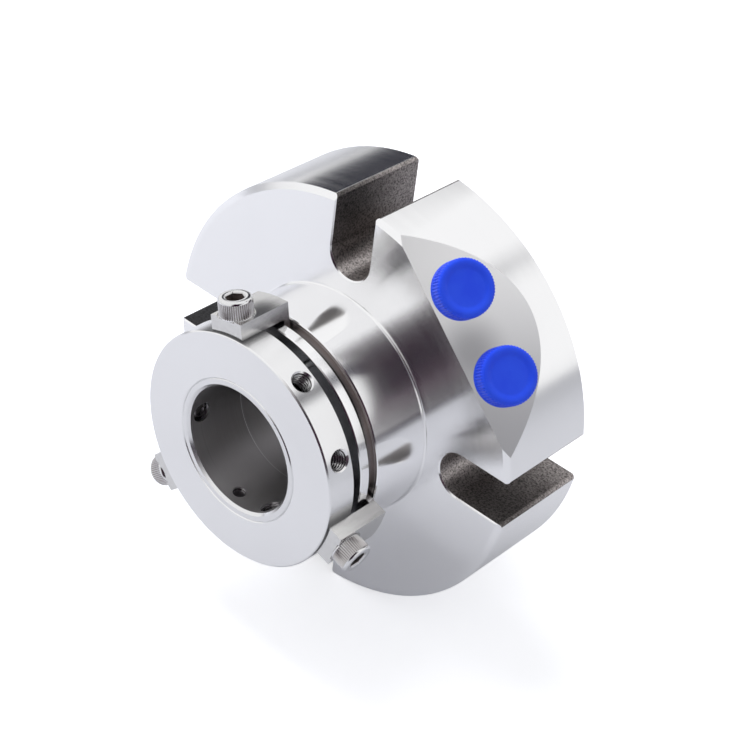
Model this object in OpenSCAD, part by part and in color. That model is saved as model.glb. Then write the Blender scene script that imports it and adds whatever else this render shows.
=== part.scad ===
// Balanced double cartridge mechanical seal for a pump shaft.
// Millimetres. The shaft axis is Y, the collar end faces -Y, and +Z is up.
// The origin is on the shaft axis, in the gland's mounting face.

/* [Shaft and sleeve] */
// Diameter of the shaft that the sleeve slides onto
shaft_d = 40; // [38:0.5:41]
// Wall of the sleeve
sleeve_wall = 2.6; // [2.4:0.1:2.8]
// Radial depth of the relief between the two bearing lands of the bore
bore_relief = 0.4; // [0.2:0.1:0.6]
// Length of the bearing land under the collar
outboard_land = 22.7; // [18:0.1:30]
// Distance that the inner bearing land reaches outboard of the mounting face
inboard_land_reach = 8; // [2:1:14]
// Length of the flange at the sleeve's inner end
flange_length = 6; // [5.5:0.5:9]
// Thickness of the O-ring that seals the sleeve to the shaft
shaft_o_ring_section = 2.4; // [2:0.1:2.6]

/* [Gland] */
// Outer diameter of the gland
gland_d = 134.6; // [130:0.1:140]
// Thickness of the gland's plate
gland_thickness = 36; // [34:0.5:40]
// Width of the bevel around both edges, measured along the radius
edge_bevel = 2; // [0.5:0.1:3]
// Depth of the same bevel, measured along the axis
edge_bevel_depth = 1; // [0.4:0.1:2]
// Width of the four open bolt slots
slot_width = 15; // [12:0.5:16]
// Distance from the shaft axis to the centre of a slot's round end
slot_end_r = 49.9; // [49:0.1:54]
// Rounding where a slot meets the rim
slot_corner_r = 1.2; // [0.5:0.1:2.5]
// Chamfer along the edges of a slot on both faces
slot_edge = 0.4; // [0.2:0.05:0.8]

/* [Neck] */
// Wall of the neck outside the bore that the seal rings turn in
neck_wall = 6; // [5.8:0.1:6.4]
// Length of the plain part of the neck
neck_length = 20.5; // [17:0.5:24]
// Width of the groove that the clips hook into
groove_width = 2.9; // [2.7:0.1:3.5]
// Depth of that groove
groove_depth = 4; // [3.7:0.1:4.2]
// Width of the lip in front of the groove
lip_width = 3.5; // [3:0.1:5]
// How much smaller the lip's radius is than the neck's
lip_step = 0.5; // [0.3:0.1:0.8]
// Fillet where the neck meets the gland
neck_fillet = 0.8; // [0.4:0.1:1.5]

/* [Port facet] */
// Clock angle of the facet from the top slot
facet_clock = 45; // [43:1:47]
// Depth from the rim in to the facet's front edge, measured along the radius
facet_depth = 10; // [8.4:0.1:10.8]
// Lean of the facet towards the collar end
facet_tilt = 22.5; // [20:0.5:24]
// Distance between the two port axes
port_spacing = 27; // [25:0.5:28]
// Distance from the facet's front edge to the port axes
port_rise = 9.4; // [8.8:0.1:11]
// Diameter of the threaded stretch of a port
port_thread_d = 13; // [12:0.1:13.4]
// Depth of the threaded stretch
port_thread_depth = 13; // [12:0.5:15]
// Diameter of the drilling from the thread to the fluid chamber
port_drill_d = 6.4; // [5:0.1:6.5]

/* [Port plugs] */
// Diameter of a plug's head
plug_head_d = 17.2; // [16:0.1:18]
// Height of a plug's head
plug_head_height = 6.6; // [5:0.1:8]
// Rounding of the head's top edge
plug_head_round = 1.2; // [0.6:0.1:1.6]
// Depth of the dish in the head
plug_dish_depth = 0.8; // [0.3:0.1:1.2]
// Number of grip ribs around the head
plug_ribs = 60; // [40:2:72]
// Length of the plug's shank
plug_shank_length = 10; // [8:0.5:11]

/* [Drive collar] */
// How much larger the collar's radius is than the neck's
collar_step = 0.65; // [0.3:0.05:1]
// Width of the collar along the shaft
collar_width = 9.8; // [9.4:0.1:12]
// Open gap between the neck's lip and the collar
collar_gap = 4; // [3:0.1:6]
// Distance from the collar's rear face to the line of its screws
screw_inset = 4.5; // [4.4:0.1:5]
// Half the angle between the two set screws of a pair
screw_pair_angle = 19; // [16:1:20]
// Thread diameter of the set screws and clip screws
screw_d = 6; // [5:0.5:6]
// Length of a set screw that grips the shaft
grip_screw_length = 10; // [8:1:11]
// Length of a set screw that locates the sleeve, without its dog point
dog_screw_length = 7; // [5:1:9]
// Diameter of the dog point
dog_point_d = 4; // [3:0.5:4]

/* [Setting clips] */
// Clock angle of the first clip from the top slot
clip_clock = -12.5; // [-14:0.5:-8]
// Width of a clip across its parallel sides
clip_width = 12; // [11.6:0.1:13]
// Height of a clip above the collar
clip_height = 4.85; // [4.2:0.05:6]
// Distance from the collar's front face to the clip's front face
clip_set_back = 1; // [0.6:0.1:1.4]
// Thickness of the hook at a clip's rear end
hook_thickness = 2; // [1.6:0.1:2]
// Diameter of a clip screw's head
clip_screw_head_d = 10; // [9:0.5:10]
// Height of a clip screw's head
clip_screw_head_height = 6; // [5:0.5:7]
// Length of a clip screw below its head
clip_screw_length = 11.6; // [10:0.2:13]
// Number of knurl teeth around the head
knurl_teeth = 48; // [32:2:52]

/* [Sealing faces] */
// Length of a rotating seal ring
rotary_length = 8; // [7.5:0.5:9]
// Length of a stationary seal ring
stationary_length = 10; // [10:0.5:11]
// Wall of the seal rings outside the sleeve
seal_ring_wall = 6.9; // [6.8:0.1:7.1]
// Width of the raised band that seals
face_width = 3; // [2.5:0.1:3.4]
// Radius of the balance step above the sealing band's inner radius
balance_step = 2.15; // [1.8:0.05:2.3]
// Thickness of the disc between springs and seal ring
disc_thickness = 1; // [0.8:0.1:1.2]
// Free distance behind that disc
float_gap = 2; // [1.9:0.1:2.4]
// Number of springs behind each stationary ring
spring_count = 6; // [6:2:6]
// Wire diameter of a spring
spring_wire_d = 0.6; // [0.5:0.05:0.7]

/* [Inner housing] */
// Thickness of the web that carries the springs
web_thickness = 7; // [6.8:0.1:8]
// Depth of a spring pocket
pocket_depth = 6; // [5:0.5:6]
// Distance from the mounting face in to the spring carrier
carrier_set_back = 3; // [2.8:0.1:4]
// Length of the pumping ring
pumping_ring_length = 9; // [6:1:10]
// Number of scallops around the pumping ring
pumping_scallops = 10; // [6:1:12]

/* [Hidden] */
$fn = 96;

// How far a cutting shape runs past the surface that it cuts
past = 1;
// Gap between a thread and its hole
thread_gap = 0.06;
// Gap between parts that slide together or are pushed on by hand
slip_gap = 0.15;
// Gap between parts that are pressed together
press_gap = 0.02;
// Gap beside parts that turn
turn_gap = 1;
// Gap around the end of a pin, a spring or a screw in its hole
end_gap = 0.1;
// Gap between parts that fit closely without pressing
close_gap = 0.05;
// Small chamfer that breaks a machined edge
break_edge = 0.3;
// Chamfer around the collar's front face
collar_chamfer = 0.45;
// Chamfer at the mouths of the sleeve's bore and around its flange
sleeve_chamfer = 0.8;

// Radii from the shaft outwards
shaft_r = shaft_d / 2;
sleeve_r = shaft_r + sleeve_wall;
seal_ring_r = sleeve_r + seal_ring_wall;
neck_bore_r = seal_ring_r + turn_gap;
neck_r = neck_bore_r + neck_wall;
lip_r = neck_r - lip_step;
groove_r = neck_r - groove_depth;
chamber_gap = 1.5;
chamber_r = seal_ring_r + chamber_gap;
gland_r = gland_d / 2;
collar_r = neck_r + collar_step;
clip_r = collar_r + clip_height;
facet_distance = gland_r - facet_depth;

// Positions along the shaft, from the mounting face, with the collar end negative
gland_front = -gland_thickness;
neck_front = gland_front - neck_length;
lip_back = neck_front - groove_width;
lip_front = lip_back - lip_width;
collar_back = lip_front - collar_gap;
collar_front = collar_back - collar_width;
screw_line = collar_back - screw_inset;

// One set of sealing faces, measured from the sealing plane towards the springs
face_gap = 2;
nose_gap = 1.1;
face_in_r = sleeve_r + face_gap;
face_out_r = face_in_r + face_width;
balance_r = face_in_r + balance_step;
nose_out_r = balance_r - slip_gap;
nose_in_r = sleeve_r + nose_gap;
shoulder = stationary_length + disc_thickness + float_gap;
web_end = shoulder + web_thickness;
tail_start = 4.5;
body_step = 0.4;
body_in_r = face_in_r - body_step;
face_height = 2;
tail_mid_r = (balance_r + seal_ring_r) / 2;
spring_r = 0.9;
spring_gap = 0.2;
pocket_r = spring_r + spring_wire_d / 2 + spring_gap;
web_past = 0.5;
lock_pin_r = 1;
lock_pin_inset = 0.6;
lock_pin_at_r = seal_ring_r - lock_pin_inset;
lock_pin_start = 7.5;
lock_pin_depth = 4;
lock_notch_start = 5.5;
notch_gap = 0.2;
lock_notch_r = lock_pin_at_r - lock_pin_r - notch_gap;
lock_notch_width = 2 * (lock_pin_r + notch_gap);
dynamic_o_ring_inset = 1.6;
dynamic_o_ring_at = stationary_length - dynamic_o_ring_inset;
dynamic_o_ring_r = 0.89;
dynamic_groove_depth = 1.25;
dynamic_groove_r = nose_out_r - dynamic_groove_depth;
dynamic_groove_width = 2.3;
nose_lead = 1.8;
nose_start = dynamic_o_ring_at - nose_lead;
rotary_bore_r = sleeve_r + slip_gap;
rotary_o_ring_r = 1;
rotary_o_ring_at = -4.4;
rotary_groove_depth = 1.65;
rotary_groove_r = rotary_bore_r + rotary_groove_depth;
rotary_groove_width = 2.6;
drive_pin_r = 1.25;
drive_pin_reach = 2.5;
drive_pin_depth = 4;
drive_pin_inset = 1.5;
drive_pin_at_r = seal_ring_r - drive_pin_inset;
drive_pin_lead_angle = 30;
drive_pin_clock = clip_clock + drive_pin_lead_angle;
drive_notch_width = 2 * (drive_pin_r + notch_gap);
drive_notch_depth = drive_pin_reach + 2 * notch_gap;
drive_notch_r = drive_pin_at_r - drive_pin_r - notch_gap;

// Where the two sets of faces stand on the shaft
outboard_face = collar_back + rotary_length;
outboard_web_end = outboard_face + web_end;
inboard_face = shoulder - carrier_set_back;
inboard_rotary_back = inboard_face + rotary_length;
sleeve_end = inboard_rotary_back + flange_length;
carrier_back = -carrier_set_back - web_thickness;
carrier_wall = 3.5;
carrier_r = neck_bore_r + carrier_wall;
carrier_pin_r = 1;
carrier_pin_inset = 1.5;
carrier_pin_at_r = carrier_r - carrier_pin_inset;
carrier_pin_in_gland = 3;
carrier_pin_in_carrier = 2;
carrier_pin_length = carrier_pin_in_gland + carrier_pin_in_carrier - 2 * end_gap;
snap_groove_depth = 1.2;
snap_groove_r = carrier_r + snap_groove_depth;
snap_thickness = 1.4;
snap_side_gap = 0.05;
snap_groove_width = snap_thickness + 2 * snap_side_gap;
snap_reach = 2.2;
snap_opening = 9.2;
snap_eye_r = 1.9;
snap_eye_hole_r = 0.8;
snap_eye_angle = 8;

// Grooves for the O-rings at the mounting face, the carrier and the shaft
gasket_section_r = 1.5;
gasket_groove_depth = 2.4;
gasket_groove_width = 3.4;
gasket_land = 1.5;
gasket_r = snap_groove_r + gasket_land + gasket_groove_width / 2;
carrier_o_ring_r = 0.89;
carrier_groove_depth = 1.4;
carrier_groove_r = carrier_r - carrier_groove_depth;
carrier_groove_width = 2.3;
carrier_groove_at = carrier_back + web_thickness / 2;
shaft_o_ring_squeeze = 0.82;
shaft_groove_r = shaft_r + shaft_o_ring_squeeze * shaft_o_ring_section;
shaft_groove_width = 1.25 * shaft_o_ring_section;
shaft_groove_inset = 2.8;
shaft_groove_at = sleeve_end - shaft_groove_inset;

// Clips and their screws
clip_angles = [for (i = [0:2]) clip_clock + 120 * i];
grip_angles = [for (a = clip_angles) a + 60 - screw_pair_angle];
dog_angles = [for (a = clip_angles) a + 60 + screw_pair_angle];
clip_front = collar_front + clip_set_back;
hook_gap = 0.3;
hook_foot_gap = 0.7;
clip_back = lip_back + hook_gap + hook_thickness;
clip_inner_r = collar_r + close_gap;
hook_r = groove_r + hook_foot_gap;
clip_seat_depth = 0.7;
clip_seat_r = clip_r - clip_seat_depth;
clip_seat_margin = 0.5;
clip_seat_cut_r = clip_screw_head_d / 2 + clip_seat_margin;
screw_r = screw_d / 2;
hole_gap = 0.2;
socket_key = 0.83 * screw_d;
set_socket_key = 0.5 * screw_d;
screw_point_length = 1;
grip_socket_depth = 3;
dog_socket_depth = 2.5;
grip_tip_gap = 0.6;
dog_tip_gap = 0.8;
dog_body_gap = 0.6;
grip_screw_tip_r = shaft_r + grip_tip_gap;
dog_screw_tip_r = shaft_r + dog_tip_gap;
dog_screw_body_r = sleeve_r + dog_body_gap;

// Turns a shape built around Z so that its axis lies along Y and its -Y side points up
module on_shaft() {
    rotate([-90, 0, 0]) children();
}

// Turns the X axis to a clock angle, counted from the top towards +X
module at_clock(angle) {
    rotate([0, 0, angle - 90]) children();
}

// Points the Z axis of a shape outwards along the radius at a clock angle and a place on the shaft
module outwards(angle, along) {
    at_clock(angle) translate([0, 0, along]) rotate([0, 90, 0]) children();
}

// Moves a face set to the collar end
module outboard_set() {
    on_shaft() translate([0, 0, outboard_face]) children();
}

// Moves a face set, turned end for end, to the pump end
module inboard_set() {
    on_shaft() translate([0, 0, inboard_face]) mirror([0, 0, 1]) children();
}

// Places a shape on the port facet: X is the facet's normal and Z runs up its slope
module on_facet() {
    at_clock(facet_clock)
        translate([facet_distance, 0, gland_front])
            rotate([0, facet_tilt, 0])
                children();
}

// Places a shape at one port: X points out along the port axis
module at_port(side) {
    on_facet() translate([0, side * port_spacing / 2, port_rise]) children();
}

// A ring between two radii and two places on the shaft
module ring(inner_r, outer_r, start, end) {
    translate([0, 0, start])
        difference() {
            cylinder(r = outer_r, h = end - start);
            translate([0, 0, -past]) cylinder(r = inner_r, h = end - start + 2 * past);
        }
}

// An O-ring squeezed between two radii
module squeezed_o_ring(section_r, inner_r, outer_r, along) {
    mid_r = (inner_r + outer_r) / 2;
    rotate_extrude()
        intersection() {
            translate([mid_r, along]) circle(r = section_r, $fn = 32);
            translate([inner_r, along - 2 * section_r]) square([outer_r - inner_r, 4 * section_r]);
        }
}

// A hexagon prism measured across its flats
module hexagon(across, height) {
    cylinder(r = across / 2 / cos(30), h = height, $fn = 6);
}

// Section of the gland: rim, neck, groove, lip, spring web, nose and fluid chamber
function gland_section() = concat(
    [
        [carrier_r, 0],
        [gasket_r - gasket_groove_width / 2, 0],
        [gasket_r - gasket_groove_width / 2, -gasket_groove_depth],
        [gasket_r + gasket_groove_width / 2, -gasket_groove_depth],
        [gasket_r + gasket_groove_width / 2, 0],
        [gland_r - edge_bevel, 0],
        [gland_r, -edge_bevel_depth],
        [gland_r, gland_front + edge_bevel_depth],
        [gland_r - edge_bevel, gland_front]
    ],
    [for (a = [0:15:90]) [neck_r + neck_fillet * (1 - sin(a)), gland_front - neck_fillet * (1 - cos(a))]],
    [
        [neck_r, neck_front + break_edge],
        [neck_r - break_edge, neck_front],
        [groove_r, neck_front],
        [groove_r, lip_back],
        [lip_r - break_edge, lip_back],
        [lip_r, lip_back - break_edge],
        [lip_r, lip_front + break_edge],
        [lip_r - break_edge, lip_front],
        [neck_bore_r + break_edge, lip_front],
        [neck_bore_r, lip_front + break_edge],
        [neck_bore_r, outboard_face + shoulder],
        [nose_out_r, outboard_face + shoulder],
        [nose_out_r, outboard_face + dynamic_o_ring_at + dynamic_groove_width / 2],
        [dynamic_groove_r, outboard_face + dynamic_o_ring_at + dynamic_groove_width / 2],
        [dynamic_groove_r, outboard_face + dynamic_o_ring_at - dynamic_groove_width / 2],
        [nose_out_r, outboard_face + dynamic_o_ring_at - dynamic_groove_width / 2],
        [nose_out_r, outboard_face + nose_start],
        [nose_in_r, outboard_face + nose_start],
        [nose_in_r, outboard_web_end],
        [chamber_r, outboard_web_end],
        [chamber_r, carrier_back],
        [carrier_r, carrier_back],
        [carrier_r, -carrier_set_back],
        [snap_groove_r, -carrier_set_back],
        [snap_groove_r, snap_groove_width - carrier_set_back],
        [carrier_r, snap_groove_width - carrier_set_back]
    ]
);

// One open bolt slot along +X, with its round end and rounded mouth
module slot_cut() {
    depth = gland_thickness + 2 * past;
    half = slot_width / 2;
    corner_at = sqrt(pow(gland_r - slot_corner_r, 2) - pow(half + slot_corner_r, 2));
    translate([0, 0, gland_front - past]) {
        translate([slot_end_r, 0, 0]) cylinder(r = half, h = depth);
        translate([slot_end_r, -half, 0]) cube([gland_r, slot_width, depth]);
        for (side = [0, 1])
            mirror([0, side, 0])
                difference() {
                    translate([corner_at, half - past, 0]) cube([gland_r, slot_corner_r + past, depth]);
                    translate([corner_at, half + slot_corner_r, -past])
                        cylinder(r = slot_corner_r, h = depth + 2 * past);
                }
    }
}

// Chamfer along a slot's edge on the face at z = 0, which opens towards +Z
module slot_edge_cut() {
    half = slot_width / 2;
    translate([slot_end_r, 0, -slot_edge])
        cylinder(r1 = half, r2 = half + slot_edge + past, h = slot_edge + past);
    translate([slot_end_r, 0, 0])
        rotate([90, 0, 90])
            linear_extrude(gland_r)
                polygon([
                    [-half, -slot_edge],
                    [half, -slot_edge],
                    [half + slot_edge + past, past],
                    [-half - slot_edge - past, past]
                ]);
}

// Threaded stretch and drilling of one port
module port_cut(side) {
    drill_length = gland_r - face_out_r;
    at_port(side) {
        translate([past, 0, 0]) rotate([0, -90, 0]) cylinder(d = port_thread_d, h = port_thread_depth + past);
        rotate([0, -90, 0]) cylinder(d = port_drill_d, h = drill_length);
    }
}

// Angles of the springs, which leave room for the two lock pins
function spring_angles() = [for (i = [0:spring_count - 1]) (i + 0.5) * 360 / spring_count];

// Spring pockets and lock pin holes, measured from the sealing plane
module web_holes() {
    for (a = spring_angles())
        rotate([0, 0, a])
            translate([tail_mid_r, 0, shoulder - web_past])
                cylinder(r = pocket_r, h = pocket_depth + web_past, $fn = 24);
    for (a = [0, 180])
        rotate([0, 0, a])
            translate([lock_pin_at_r, 0, shoulder - web_past])
                cylinder(r = lock_pin_r + press_gap, h = lock_pin_depth + web_past, $fn = 24);
}

module gland() {
    color("gainsboro")
        on_shaft()
            difference() {
                rotate_extrude() polygon(gland_section());
                for (clock = [0:90:270])
                    at_clock(clock) {
                        slot_cut();
                        slot_edge_cut();
                        translate([0, 0, gland_front]) mirror([0, 0, 1]) slot_edge_cut();
                    }
                on_facet()
                    translate([0, -gland_r, -facet_depth])
                        cube([gland_r, 2 * gland_r, 2 * gland_thickness]);
                port_cut(-1);
                port_cut(1);
                translate([0, 0, outboard_face]) web_holes();
                at_clock(180)
                    translate([carrier_pin_at_r, 0, carrier_back - carrier_pin_in_gland])
                        cylinder(r = carrier_pin_r + press_gap, h = carrier_pin_in_gland + past, $fn = 24);
            }
}

// O-ring that seals the gland to the pump, standing a little proud of the mounting face
module gland_o_ring() {
    color("dimgray")
        on_shaft()
            rotate_extrude()
                translate([gasket_r, gasket_section_r + press_gap - gasket_groove_depth])
                    circle(r = gasket_section_r, $fn = 32);
}

// Section of the spring carrier, measured from the inboard sealing plane
function carrier_section() = let (
    groove_mid = inboard_face - carrier_groove_at,
    groove_half = carrier_groove_width / 2,
    seal_half = dynamic_groove_width / 2,
    rim_r = carrier_r - close_gap
) [
    [nose_in_r, nose_start],
    [nose_out_r, nose_start],
    [nose_out_r, dynamic_o_ring_at - seal_half],
    [dynamic_groove_r, dynamic_o_ring_at - seal_half],
    [dynamic_groove_r, dynamic_o_ring_at + seal_half],
    [nose_out_r, dynamic_o_ring_at + seal_half],
    [nose_out_r, shoulder],
    [rim_r, shoulder],
    [rim_r, groove_mid - groove_half],
    [carrier_groove_r, groove_mid - groove_half],
    [carrier_groove_r, groove_mid + groove_half],
    [rim_r, groove_mid + groove_half],
    [rim_r, web_end],
    [nose_in_r, web_end]
];

module spring_carrier() {
    color("silver")
        inboard_set()
            difference() {
                rotate_extrude() polygon(carrier_section());
                web_holes();
                mirror([0, 0, 1])
                    at_clock(180)
                        translate([carrier_pin_at_r, 0, -web_end - past])
                            cylinder(r = carrier_pin_r + press_gap, h = carrier_pin_in_carrier + past,
                                $fn = 24);
            }
}

module carrier_o_ring() {
    color("dimgray")
        on_shaft()
            squeezed_o_ring(carrier_o_ring_r, carrier_groove_r + press_gap, carrier_r - press_gap,
                carrier_groove_at);
}

// Pin that keeps the carrier from turning in the gland
module carrier_pin() {
    color("lightgray")
        on_shaft()
            at_clock(180)
                translate([carrier_pin_at_r, 0, carrier_back - carrier_pin_in_gland + end_gap])
                    cylinder(r = carrier_pin_r, h = carrier_pin_length, $fn = 24);
}

// Open snap ring with two eyes for pliers
module carrier_snap_ring() {
    color("darkgray")
        on_shaft()
            at_clock(0)
                translate([0, 0, snap_side_gap - carrier_set_back])
                    difference() {
                        union() {
                            difference() {
                                ring(carrier_r - snap_reach, snap_groove_r - slip_gap, 0, snap_thickness);
                                translate([0, -snap_opening / 2, -past])
                                    cube([gland_r, snap_opening, snap_thickness + 2 * past]);
                            }
                            snap_eyes(snap_eye_r, 0, snap_thickness);
                        }
                        snap_eyes(snap_eye_hole_r, -past, snap_thickness + past);
                    }
}

// The two eyes of the snap ring, or their holes
module snap_eyes(eye_r, start, end) {
    for (side = [-1, 1])
        rotate([0, 0, side * snap_eye_angle])
            translate([carrier_r - snap_eye_r, 0, start])
                cylinder(r = eye_r, h = end - start, $fn = 32);
}

// Section of the sleeve: bearing lands, relief, O-ring groove and flange
function sleeve_section() = [
    [shaft_r + sleeve_chamfer, collar_front],
    [sleeve_r - break_edge, collar_front],
    [sleeve_r, collar_front + break_edge],
    [sleeve_r, inboard_rotary_back],
    [seal_ring_r, inboard_rotary_back],
    [seal_ring_r, sleeve_end - sleeve_chamfer],
    [seal_ring_r - sleeve_chamfer, sleeve_end],
    [shaft_r + break_edge, sleeve_end],
    [shaft_r, sleeve_end - break_edge],
    [shaft_r, shaft_groove_at + shaft_groove_width / 2],
    [shaft_groove_r, shaft_groove_at + shaft_groove_width / 2],
    [shaft_groove_r, shaft_groove_at - shaft_groove_width / 2],
    [shaft_r, shaft_groove_at - shaft_groove_width / 2],
    [shaft_r, -inboard_land_reach],
    [shaft_r + bore_relief, -inboard_land_reach],
    [shaft_r + bore_relief, collar_front + outboard_land],
    [shaft_r, collar_front + outboard_land],
    [shaft_r, collar_front + sleeve_chamfer]
];

module sleeve() {
    color("silver")
        on_shaft()
            difference() {
                rotate_extrude() polygon(sleeve_section());
                for (a = grip_angles) outwards(a, screw_line) cylinder(r = screw_r + hole_gap, h = gland_r);
                for (a = dog_angles)
                    outwards(a, screw_line) cylinder(r = (dog_point_d + hole_gap) / 2, h = gland_r);
                for (a = [0, 180])
                    at_clock(drive_pin_clock + a)
                        translate([drive_pin_at_r, 0, inboard_rotary_back - past])
                            cylinder(r = drive_pin_r + press_gap, h = drive_pin_depth + past, $fn = 24);
            }
}

module shaft_o_ring() {
    color("dimgray")
        on_shaft()
            squeezed_o_ring(shaft_o_ring_section / 2, shaft_r + close_gap, shaft_groove_r - press_gap,
                shaft_groove_at);
}

// Scalloped ring on the sleeve that moves the barrier fluid past the ports
module pumping_ring() {
    middle = (outboard_web_end + carrier_back) / 2;
    pumping_gap = 2;
    scallop_r = 2.2;
    scallop_depth = 1.6;
    outer_r = chamber_r - pumping_gap;
    color("silver")
        on_shaft()
            difference() {
                ring(sleeve_r + press_gap, outer_r, middle - pumping_ring_length / 2,
                    middle + pumping_ring_length / 2);
                for (i = [0:pumping_scallops - 1])
                    rotate([0, 0, i * 360 / pumping_scallops])
                        translate([outer_r - scallop_depth + scallop_r, 0, middle - pumping_ring_length])
                            cylinder(r = scallop_r, h = 2 * pumping_ring_length, $fn = 24);
            }
}

// Section of the drive collar
function collar_section() = [
    [sleeve_r + press_gap + break_edge, collar_front],
    [collar_r - collar_chamfer, collar_front],
    [collar_r, collar_front + collar_chamfer],
    [collar_r, collar_back - break_edge],
    [collar_r - break_edge, collar_back],
    [sleeve_r + press_gap, collar_back],
    [sleeve_r + press_gap, collar_front + break_edge]
];

// Threaded hole through the collar, with a countersunk mouth
module set_screw_hole(angle) {
    mouth = 0.55;
    section = [
        [0, shaft_r],
        [screw_r, shaft_r],
        [screw_r, collar_r - mouth],
        [screw_r + 2 * mouth, collar_r + mouth],
        [0, collar_r + mouth]
    ];
    outwards(angle, screw_line) rotate_extrude() polygon(section);
}

module drive_collar() {
    color("gainsboro")
        on_shaft()
            difference() {
                rotate_extrude() polygon(collar_section());
                for (a = concat(grip_angles, dog_angles)) set_screw_hole(a);
                for (a = clip_angles)
                    outwards(a, screw_line)
                        translate([0, 0, clip_seat_r - clip_screw_length - 4 * end_gap])
                            cylinder(r = screw_r, h = gland_r);
                for (a = [0, 180])
                    at_clock(drive_pin_clock + a)
                        translate([drive_pin_at_r, 0, collar_back - drive_pin_depth])
                            cylinder(r = drive_pin_r + press_gap, h = drive_pin_depth + past, $fn = 24);
            }
}

// Cup point set screws, through the sleeve and ready to grip the shaft
module grip_screws() {
    cup_r = 1.5;
    cup_rim = 0.5;
    body_r = screw_r - thread_gap;
    color("dimgray")
        on_shaft()
            for (a = grip_angles)
                outwards(a, screw_line)
                    translate([0, 0, grip_screw_tip_r])
                        difference() {
                            union() {
                                cylinder(r1 = cup_r + cup_rim, r2 = body_r, h = screw_point_length);
                                translate([0, 0, screw_point_length])
                                    cylinder(r = body_r, h = grip_screw_length - screw_point_length);
                            }
                            translate([0, 0, -past]) cylinder(r = cup_r, h = past + cup_rim);
                            translate([0, 0, grip_screw_length - grip_socket_depth])
                                hexagon(set_socket_key, grip_socket_depth + past);
                        }
}

// Dog point set screws that hold the sleeve to the collar
module dog_screws() {
    color("dimgray")
        on_shaft()
            for (a = dog_angles)
                outwards(a, screw_line)
                    difference() {
                        union() {
                            translate([0, 0, dog_screw_tip_r])
                                cylinder(d = dog_point_d, h = dog_screw_body_r - dog_screw_tip_r + end_gap);
                            translate([0, 0, dog_screw_body_r])
                                cylinder(r = screw_r - thread_gap, h = dog_screw_length);
                        }
                        translate([0, 0, dog_screw_body_r + dog_screw_length - dog_socket_depth])
                            hexagon(set_socket_key, dog_socket_depth + past);
                    }
}

// Hard ring that turns with the sleeve, measured from the sealing plane
module rotary_face() {
    groove_half = rotary_groove_width / 2;
    section = [
        [rotary_bore_r, -rotary_length],
        [seal_ring_r, -rotary_length],
        [seal_ring_r, -break_edge],
        [seal_ring_r - break_edge, 0],
        [rotary_bore_r, 0],
        [rotary_bore_r, rotary_o_ring_at + groove_half],
        [rotary_groove_r, rotary_o_ring_at + groove_half],
        [rotary_groove_r, rotary_o_ring_at - groove_half],
        [rotary_bore_r, rotary_o_ring_at - groove_half]
    ];
    difference() {
        rotate_extrude() polygon(section);
        for (a = [0, 180])
            at_clock(drive_pin_clock + a)
                translate([drive_notch_r, -drive_notch_width / 2, -rotary_length - past])
                    cube([seal_ring_r, drive_notch_width, drive_notch_depth + past]);
    }
}

module rotary_o_ring() {
    squeezed_o_ring(rotary_o_ring_r, sleeve_r + press_gap, rotary_groove_r - press_gap, rotary_o_ring_at);
}

// Two pins pressed into the part behind the rotating ring
module drive_pins() {
    for (a = [0, 180])
        at_clock(drive_pin_clock + a)
            translate([drive_pin_at_r, 0, end_gap - rotary_length - drive_pin_depth])
                cylinder(r = drive_pin_r, h = drive_pin_depth - end_gap + drive_pin_reach, $fn = 24);
}

// Carbon ring with the sealing band in front and the balance step in its bore
module stationary_face() {
    section = [
        [face_in_r, 0],
        [face_out_r, 0],
        [face_out_r, face_height],
        [seal_ring_r, face_height],
        [seal_ring_r, stationary_length],
        [balance_r, stationary_length],
        [balance_r, tail_start],
        [body_in_r, tail_start],
        [body_in_r, face_height],
        [face_in_r, face_height]
    ];
    difference() {
        rotate_extrude() polygon(section);
        lock_notches(lock_notch_start, stationary_length + past);
    }
}

// Open notches for the two lock pins
module lock_notches(start, end) {
    for (a = [0, 180])
        rotate([0, 0, a])
            translate([lock_notch_r, -lock_notch_width / 2, start])
                cube([seal_ring_r, lock_notch_width, end - start]);
}

module stationary_o_ring() {
    squeezed_o_ring(dynamic_o_ring_r, dynamic_groove_r + press_gap, balance_r - press_gap, dynamic_o_ring_at);
}

// Disc that spreads the springs' push over the carbon ring
module spring_disc() {
    difference() {
        ring(balance_r + close_gap, seal_ring_r - end_gap, stationary_length,
            stationary_length + disc_thickness);
        lock_notches(stationary_length - past, stationary_length + disc_thickness + past);
    }
}

// Two pins pressed into the web that keep the carbon ring from turning
module lock_pins() {
    for (a = [0, 180])
        rotate([0, 0, a])
            translate([lock_pin_at_r, 0, lock_pin_start])
                cylinder(r = lock_pin_r, h = shoulder - lock_pin_start + lock_pin_depth - end_gap, $fn = 24);
}

// One coil spring from z = 0, swept as a closed tube around a helix
module coil_spring(height) {
    turns = 5;
    steps = 8;
    sides = 6;
    wire_r = spring_wire_d / 2;
    rings = turns * steps;
    rise = height - 2 * (wire_r + press_gap);
    points = [
        for (i = [0:rings])
            let (turn = i * 360 / steps, z = wire_r + press_gap + rise * i / rings)
                for (j = [0:sides - 1])
                    let (a = j * 360 / sides, r = spring_r + wire_r * cos(a))
                        [r * cos(turn), r * sin(turn), z + wire_r * sin(a)]
    ];
    walls = [
        for (i = [0:rings - 1], j = [0:sides - 1], half = [0, 1])
            let (a = i * sides + j, b = i * sides + (j + 1) % sides)
                half == 0 ? [a, b, b + sides] : [a, b + sides, a + sides]
    ];
    first_cap = [[for (j = [sides - 1:-1:0]) j]];
    last_cap = [[for (j = [0:sides - 1]) rings * sides + j]];
    polyhedron(points = points, faces = concat(walls, first_cap, last_cap), convexity = 10);
}

module springs() {
    start = stationary_length + disc_thickness;
    for (a = spring_angles())
        rotate([0, 0, a])
            translate([tail_mid_r, 0, start])
                coil_spring(shoulder + pocket_depth - start);
}

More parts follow.
